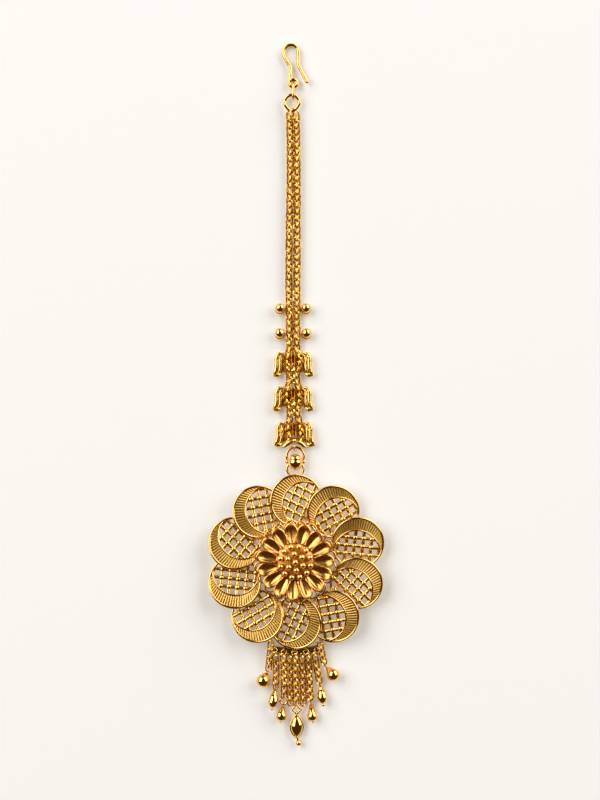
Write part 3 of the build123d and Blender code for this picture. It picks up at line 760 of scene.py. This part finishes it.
# profiles give a radius and a level at each point, from the axis out and back to it
flowerMiddle = shift(0, flowerY)
hubProfile = [(0, 0.02), (6.9, 0.0), (7.25, 0.08), (7.40, 0.30), (7.40, 0.66), (7.25, 0.85), (6.9, 0.90),
              (4.75, 0.90), (4.60, 1.05), (4.60, 3.85), (4.40, 4.0), (0, 4.0)]


def makeHub():
    bm = bmesh.new()
    addTurned(bm, hubProfile, flowerMiddle, steps=96)
    finishPiece(bm, "hubBack", ["backGold"], "hub", sharpAngle=35)


scroll = {
    "count": 20, "at": 8.15, "radius": 1.08, "wire": 0.42, "level": 4.33,
    "platter": [(0, 4.16), (7.2, 4.16), (7.40, 4.25), (7.40, 4.42), (7.2, 4.50), (0, 4.50)],
}


def makeScroll():
    bm = bmesh.new()
    addTurned(bm, scroll["platter"], flowerMiddle, steps=64)
    for number in range(scroll["count"]):
        x, y = polar(scroll["at"], (number + 0.5) * 360 / scroll["count"])
        addRing(bm, scroll["radius"], scroll["wire"], flowerMiddle @ shift(x, y, scroll["level"]),
                around=28, section=8)
    finishPiece(bm, "scrollRound", ["latticeGold"], "scroll_layer")


daisy = {
    "spoons": 15, "first": 98.0, "root": 4.35, "middle": 6.90, "end": 8.62, "split": 0.5, "endShare": 0.96,
    "rootWidth": 0.74, "fullWidth": 1.37, "floorLevel": 4.98, "floorSlope": 0.07, "rootRise": 0.10,
    "cup": 0.62, "edgeShare": 0.25, "thickness": 0.22,
    "crease": 0.15, "creaseWidth": 0.16, "creaseRun": 1.25, "flute": 0.04, "flutes": 4,
    "crown": [(0, 4.64), (4.5, 4.64), (4.6, 4.75), (4.6, 4.98), (4.5, 5.06), (0, 5.06)],
}


def spoonPoint(along, across):
    # along runs from 0 at the root to 1 at the tip, and across from -1 to 1
    split = daisy["split"]  # the spoon is widest here
    if along < split:
        t = along / split
        x = daisy["root"] + (daisy["middle"] - daisy["root"]) * t
        width = daisy["rootWidth"] + (daisy["fullWidth"] - daisy["rootWidth"]) * math.sin(t * math.pi / 2)
        reach = across ** 2
        level = daisy["rootRise"] * (1 - t) ** 2
    else:
        t = (along - split) / (1 - split) * math.pi / 2 * daisy["endShare"]
        x = daisy["middle"] + (daisy["end"] - daisy["middle"]) * math.sin(t)
        width = daisy["fullWidth"] * math.cos(t)
        reach = math.sin(t) ** 2 + (across * math.cos(t)) ** 2
        level = 0
    level += daisy["floorSlope"] * (x - daisy["root"])
    level += daisy["cup"] * (reach + daisy["edgeShare"] * (reach ** 4 - reach))
    crease = daisy["crease"] * math.exp(-(across / daisy["creaseWidth"]) ** 2)
    crease *= math.sin(min(along * daisy["creaseRun"], 1) * math.pi)
    flute = daisy["flute"] * math.cos(across * math.pi * daisy["flutes"]) * math.sin(along * math.pi)
    return x, across * width, daisy["floorLevel"] + level - crease + flute


def spoonMesh():
    bm = bmesh.new()
    for vert in bmesh.ops.create_grid(bm, x_segments=16, y_segments=20, size=1)["verts"]:
        vert.co = spoonPoint((vert.co.x + 1) / 2, vert.co.y)
    bmesh.ops.recalc_face_normals(bm, faces=bm.faces)
    bmesh.ops.solidify(bm, geom=bm.faces[:], thickness=daisy["thickness"])
    return makeMesh(bm, "spoon")


def makeDaisy():
    bm = bmesh.new()
    addTurned(bm, daisy["crown"], flowerMiddle, steps=64)
    step = 360 / daisy["spoons"]
    addCopies(bm, spoonMesh(), [flowerMiddle @ turn(daisy["first"] - number * step, "Z")
                                for number in range(daisy["spoons"])])
    finishPiece(bm, "daisyRound", ["castGold"], "daisy", sharpAngle=60)


granule = {
    "radius": 0.73, "stem": 0.34, "stemFoot": 5.3,
    "rings": [  # count, radius, level, turn
        (1, 0.00, 6.92, 0.0), (6, 1.85, 6.76, 37.0), (12, 3.50, 6.40, 17.0)],
    "dome": [(0, 5.10), (4.12, 5.10), (4.0, 5.24), (3.4, 5.50), (2.6, 5.76), (1.6, 5.95), (0.6, 6.04),
             (0, 6.05)],
}


def makeGranules():
    bm = bmesh.new()
    addTurned(bm, granule["dome"], flowerMiddle, steps=64)
    # the seat takes the second material, painted deep orange as light bounced between the granules
    bm = startFrom(makeMesh(bm, "granuleSeat", 1))
    for count, ringRadius, level, first in granule["rings"]:
        height = level - granule["stemFoot"]
        for number in range(count):
            x, y = polar(ringRadius, first + number * 360 / count)
            addBall(bm, granule["radius"], x, flowerY + y, level, around=20, rows=14)
            addPost(bm, granule["stem"], height, shift(x, flowerY + y, level - height / 2), around=10)
    finishPiece(bm, "granules", ["satinGold", "seatBounceGold"], "granule_cluster")


makeHub()
makeScroll()
makeDaisy()
makeGranules()
print("flower centre made")

drops = {
    "eyeWire": 0.26, "neck": 0.42, "neckTurns": (65, 40), "tilt": -15, "tipOut": 0.6, "bodyRows": 12,
    "oval": [  # shares of the body's radius and of the length
        (0.34, 0.0), (0.50, 0.10), (0.62, 0.21), (0.86, 0.36), (1.0, 0.58), (0.90, 0.79), (0.60, 0.93),
        (0.26, 0.99), (0.02, 1.0)],
    "turned": [  # node, shape, apex x, y, turn, body radius, length, tip radius, eye width
        ("drop_a", "tear", -6.32, -63.02, -25.0, 1.58, 3.88, 0.0, 0.78),
        ("drop_b", "oval", -4.55, -67.20, -10.0, 1.18, 4.15, 0.30, 0.78),
        ("drop_c", "tear", -2.74, -70.70, -10.0, 1.30, 3.75, 0.22, 1.00),
        ("drop_e", "tear", 3.56, -70.20, 6.0, 1.24, 4.25, 0.22, 0.78),
        ("drop_f", "oval", 5.72, -66.30, 9.0, 1.16, 4.05, 0.42, 0.78),
        ("drop_g", "tear", 7.02, -61.92, 41.0, 1.50, 3.92, 0.0, 0.78),
    ],
}


def ovalProfile(bodyRadius, length):
    mesh = curveMesh([(out * bodyRadius, -along * length, 0) for out, along in drops["oval"]], steps=5)
    points = [(max(vert.co.x, 0), vert.co.y) for vert in mesh.vertices]
    bpy.data.meshes.remove(mesh)
    return [(0, 0), *points[:-1], (0, -length)]


def tearProfile(bodyRadius, length):
    # a round body drawn up to a narrow round top
    neck, centre, rows = drops["neck"], length - bodyRadius, drops["bodyRows"]
    slope = math.degrees(math.asin((bodyRadius - neck) / (centre - neck)))
    profile = [(0, 0)]
    for angle in drops["neckTurns"]:
        out, up = polar(neck, max(angle, slope))
        profile.append((out, up - neck))
    for row in range(rows + 1):
        out, up = polar(bodyRadius, slope - row * (slope + 90) / rows)
        profile.append((out if row < rows else 0, up - centre))
    return profile


def makeTurnedDrop(node, shape, x, y, lean, bodyRadius, length, tip, eye):
    bm = bmesh.new()
    centre, wire = length - bodyRadius, drops["eyeWire"]
    place = shift(x, y, bodyRadius) @ turn(lean, "Z")
    place = place @ shift(0, -centre) @ turn(drops["tilt"], "X") @ shift(0, centre)  # the neck hangs lower
    profile = ovalProfile(bodyRadius, length) if shape == "oval" else tearProfile(bodyRadius, length)
    addTurned(bm, profile, place @ turn(-90, "X"), steps=36)
    addRing(bm, (eye - wire) / 2, wire, place @ shift(0, eye / 2 - wire) @ turn(90, "Y"),
            around=24, section=10)
    if tip:
        addBall(bm, tip, *(place @ Vector((0, -length - tip * drops["tipOut"], 0))), around=20, rows=14)
    lowest = min(vert.co.z for vert in bm.verts)  # it rests on the floor
    bmesh.ops.translate(bm, vec=(0, 0, -lowest), verts=bm.verts)
    finishPolished(bm, node.replace("_", ""), node)


# the middle drop is a cushion inside a raised edge, with a ball below
almond = {
    "apex": (0.32, -72.75), "length": 5.50, "width": 3.34, "halfDepth": 1.05, "rows": 24,
    "bezel": 0.42, "bezelRise": 1.5, "cushionShort": 0.25,
    "eyeRadius": 0.41, "eyeWire": 0.28, "eyeUp": 0.23,
    "ball": 0.70, "ballAside": 0.46, "neck": 0.24, "neckAside": 0.22, "neckUp": 0.7,
}


def almondProfile(halfLength, halfWidth):
    arcRadius = (halfLength ** 2 + halfWidth ** 2) / (2 * halfWidth)
    profile = []
    for row in range(almond["rows"] + 1):
        y = halfLength * math.sin(math.radians(-90 + row * 180 / almond["rows"]))
        out = math.sqrt(max(arcRadius ** 2 - y ** 2, 0)) - (arcRadius - halfWidth)
        profile.append((max(out, 0), y))
    return profile


def makeAlmondDrop():
    apexX, apexY = almond["apex"]
    halfLength, halfWidth = almond["length"] / 2, almond["width"] / 2
    bezel, level = almond["bezel"], almond["halfDepth"]
    centre = shift(apexX, apexY - halfLength, level)
    bm = bmesh.new()
    cushionWidth = halfWidth - bezel / 2
    addTurned(bm, almondProfile(halfLength - almond["cushionShort"], cushionWidth), turn(-90, "X"), steps=40)
    bmesh.ops.transform(bm, matrix=centre @ stretch(z=level / cushionWidth), verts=bm.verts)
    edge = almondProfile(halfLength - bezel / 2, halfWidth - bezel / 2)[::4]
    loop = [(x, y, 0) for x, y in edge] + [(-x, y, 0) for x, y in reversed(edge[1:-1])]
    addBentWire(bm, loop, bezel, centre @ stretch(z=almond["bezelRise"]), closed=True, rounding=4)
    ballY = cadLow.y * perMetre + almond["ball"]
    addBall(bm, almond["ball"], apexX + almond["ballAside"], ballY, level, around=24, rows=16)
    neckTop = apexY - almond["length"] + almond["neckUp"]
    neckPlace = shift(apexX + almond["neckAside"], (neckTop + ballY) / 2, level) @ turn(90, "X")
    addPost(bm, almond["neck"], neckTop - ballY, neckPlace, around=14)
    eyePlace = shift(apexX, apexY + almond["eyeUp"], level) @ turn(90, "Y")
    addRing(bm, almond["eyeRadius"], almond["eyeWire"], eyePlace, around=24, section=10)
    finishPolished(bm, "dropD", "drop_d", sharpAngle=45)


roundRing = {"middle": (-2.68, -69.70, 1.30), "radius": 0.79, "wire": 0.40}
diamondRing = {
    "middle": (0.32, -71.64, 1.05), "reach": 0.92, "wire": 0.46,
    "corners": [(0, 1.1), (0.5, 0.58), (1, 0), (0.5, -0.58), (0, -1.1), (-0.5, -0.58), (-1, 0), (-0.5, 0.58)],
}


def makeDropRings():
    bm = bmesh.new()
    addRing(bm, roundRing["radius"], roundRing["wire"], shift(*roundRing["middle"]), around=40, section=12)
    finishPolished(bm, "dropRingC", "drop_ring_c")
    bm = bmesh.new()
    reach = diamondRing["reach"]
    points = [(x * reach, y * reach, 0) for x, y in diamondRing["corners"]]
    addBentWire(bm, points, diamondRing["wire"], shift(*diamondRing["middle"]), closed=True)
    finishPolished(bm, "centreRing", "centre_ring")


for row in drops["turned"]:
    makeTurnedDrop(*row)
makeAlmondDrop()
makeDropRings()
print("drops made")

# the strip that the fringe hangs from: a back painted dark as shade behind its windows, two wires along it,
# and rings tied between them
strip = {
    "inner": 19.90, "outer": 21.28, "wire": 0.34, "spread": 14.2, "top": 2.10, "bottom": 1.30,
    "backRise": 0.15, "backOver": 0.3, "backHeight": 0.28,
    "ringAt": (-4.8, -2.6, -0.2, 2.5, 5.0), "ring": 0.58, "ringWire": 0.38, "ringIn": 0.6,
    "tieWidth": 0.46, "tieHeight": 0.5, "tieBevel": 0.16, "tieDown": 0.3, "tieShort": 0.3,
}


def makeStrip():
    inner, outer = strip["inner"], strip["outer"]
    fromAngle, toAngle = -90 - strip["spread"], -90 + strip["spread"]
    back = shift(0, flowerY, strip["bottom"] + strip["backRise"])
    bm = bmesh.new()
    # the back takes the second material, painted dark as shade
    addArc(bm, (inner + outer) / 2, outer - inner + strip["backOver"], back, fromAngle, toAngle,
           steps=28, section=8, height=strip["backHeight"])
    bm = startFrom(makeMesh(bm, "stripBack", 1))
    front, centre = shift(0, flowerY, strip["top"] - strip["wire"] / 2), Vector((0, flowerY))
    for radius in (inner, outer):
        addArc(bm, radius, strip["wire"], front, fromAngle, toAngle, steps=28, section=8)
    for x in strip["ringAt"]:
        outward = Vector((x, -math.sqrt(outer ** 2 - x ** 2))) / outer
        spot = outward * (outer - strip["ring"] * strip["ringIn"])
        addRing(bm, strip["ring"], strip["ringWire"], front @ shift(*spot), around=20, section=8)
        addBar(bm, outward * inner + centre, spot + centre - outward * strip["tieShort"], strip["tieWidth"],
               strip["tieHeight"], strip["top"] - strip["tieDown"], strip["tieBevel"])
    finishPiece(bm, "fringeStrip", ["latticeGold", "recessShadeGold"], "fringe_bar")


makeStrip()
print("strip made")

studio = {
    "floorSize": 12.0, "floorColor": (0.848, 0.863, 0.858), "glowColor": (0.225, 0.221, 0.194),
    "backColor": (0.965, 0.94, 0.89), "paperFade": (0.14, 0.60),  # in metres, paper to backdrop
    "softboxes": [  # name, direction, distance, width, length, watts
        ("softboxLeft", (-0.65, 0.42, 0.63), 2.4, 1.79, 2.80, 53.8),
        ("softboxRight", (0.68, 0.58, 0.45), 2.4, 1.86, 3.12, 58.9),
    ],
    "softboxColor": (1.0, 0.985, 1.0),
    "worldLow": (0.62, 0.56, 0.46), "worldHigh": (0.066, 0.033, 0.006), "worldFade": (0.0, 0.17),
    "aim": (1.07, -1.27), "aimLevel": 2.0, "shownHeight": 181.6, "lens": 100, "sensor": 36,
}


def paperMaterial():
    material = bpy.data.materials.new("floorPaper")
    material.use_nodes = True
    tree = material.node_tree
    tree.nodes.remove(tree.nodes["Principled BSDF"])
    make = tree.nodes.new
    paper, glow, fill = make("ShaderNodeBsdfDiffuse"), make("ShaderNodeEmission"), make("ShaderNodeEmission")
    near, blend = make("ShaderNodeAddShader"), make("ShaderNodeMixShader")
    for node, color in ((paper, "floorColor"), (glow, "backColor"), (fill, "glowColor")):
        setInputs(node, {"Color": (*studio[color], 1)})
    # the paper looks a little lighter to the eye, in metal and through glass, and keeps its shadow
    rays, seen, seenOrClear = make("ShaderNodeLightPath"), make("ShaderNodeMath"), make("ShaderNodeMath")
    link(tree, rays, "Is Camera Ray", seen, 0)
    link(tree, rays, "Is Glossy Ray", seen, 1)
    link(tree, seen, "Value", seenOrClear, 0)
    link(tree, rays, "Is Transmission Ray", seenOrClear, 1)
    link(tree, seenOrClear, "Value", fill, "Strength")
    link(tree, paper, "BSDF", near, 0)
    link(tree, fill, "Emission", near, 1)
    # and it fades into an even backdrop
    coords, distance = make("ShaderNodeTexCoord"), make("ShaderNodeVectorMath")
    distance.operation = "LENGTH"
    fade = make("ShaderNodeMapRange")
    setRange(fade, studio["paperFade"])
    link(tree, coords, "Object", distance, 0)
    link(tree, distance, "Value", fade, "Value")
    link(tree, fade, "Result", blend, "Fac")
    link(tree, near, "Shader", blend, 1)
    link(tree, glow, "Emission", blend, 2)
    link(tree, blend, "Shader", tree.nodes["Material Output"], "Surface")
    return material


def makeFloor():
    bm = bmesh.new()
    bmesh.ops.create_grid(bm, x_segments=1, y_segments=1, size=studio["floorSize"] / 2)
    mesh = bpy.data.meshes.new("floor")
    bm.to_mesh(mesh)
    bm.free()
    mesh.materials.append(paperMaterial())
    floor = bpy.data.objects.new("floor", mesh)
    bpy.context.scene.collection.objects.link(floor)


def makeSoftbox(name, direction, distance, width, length, watts):
    lamp = bpy.data.lights.new(name, "AREA")
    lamp.shape = "RECTANGLE"
    lamp.size, lamp.size_y = width, length
    lamp.energy = watts
    lamp.color = studio["softboxColor"]
    outward = Vector(direction).normalized()
    lengthwise = (Vector((0, 1, 0)) - outward * outward.y).normalized()
    facing = Matrix((lengthwise.cross(outward), lengthwise, outward)).transposed().to_4x4()
    holder = bpy.data.objects.new(name, lamp)
    holder.matrix_world = shift(*(outward * distance)) @ facing
    bpy.context.scene.collection.objects.link(holder)


def makeWorld():
    # light near the horizon and dark overhead
    world = bpy.data.worlds.new("studio")
    bpy.context.scene.world = world
    world.use_nodes = True
    tree = world.node_tree
    make = tree.nodes.new
    coords, split = make("ShaderNodeTexCoord"), make("ShaderNodeSeparateXYZ")
    fade, tone = make("ShaderNodeMapRange"), make("ShaderNodeMix")
    tone.data_type = "RGBA"
    setRange(fade, studio["worldFade"])
    setInputs(tone, {colorMix["first"]: (*studio["worldLow"], 1),
                     colorMix["second"]: (*studio["worldHigh"], 1)})
    link(tree, coords, "Generated", split, "Vector")
    link(tree, split, "Z", fade, "Value")
    link(tree, fade, "Result", tone, colorMix["factor"])
    link(tree, tone, colorMix["result"], tree.nodes["Background"], "Color")


def makeCamera():
    data = bpy.data.cameras.new("camera")
    data.lens = studio["lens"]
    data.sensor_width = studio["sensor"]
    camera = bpy.data.objects.new("camera", data)
    distance = studio["shownHeight"] * studio["lens"] / studio["sensor"] / perMetre
    x, y = studio["aim"]
    camera.location = (x / perMetre, y / perMetre, distance + studio["aimLevel"] / perMetre)
    bpy.context.scene.collection.objects.link(camera)
    bpy.context.scene.camera = camera


makeFloor()
for row in studio["softboxes"]:
    makeSoftbox(*row)
makeWorld()
makeCamera()
bpy.context.scene.view_settings.view_transform = "Standard"
print("studio made")
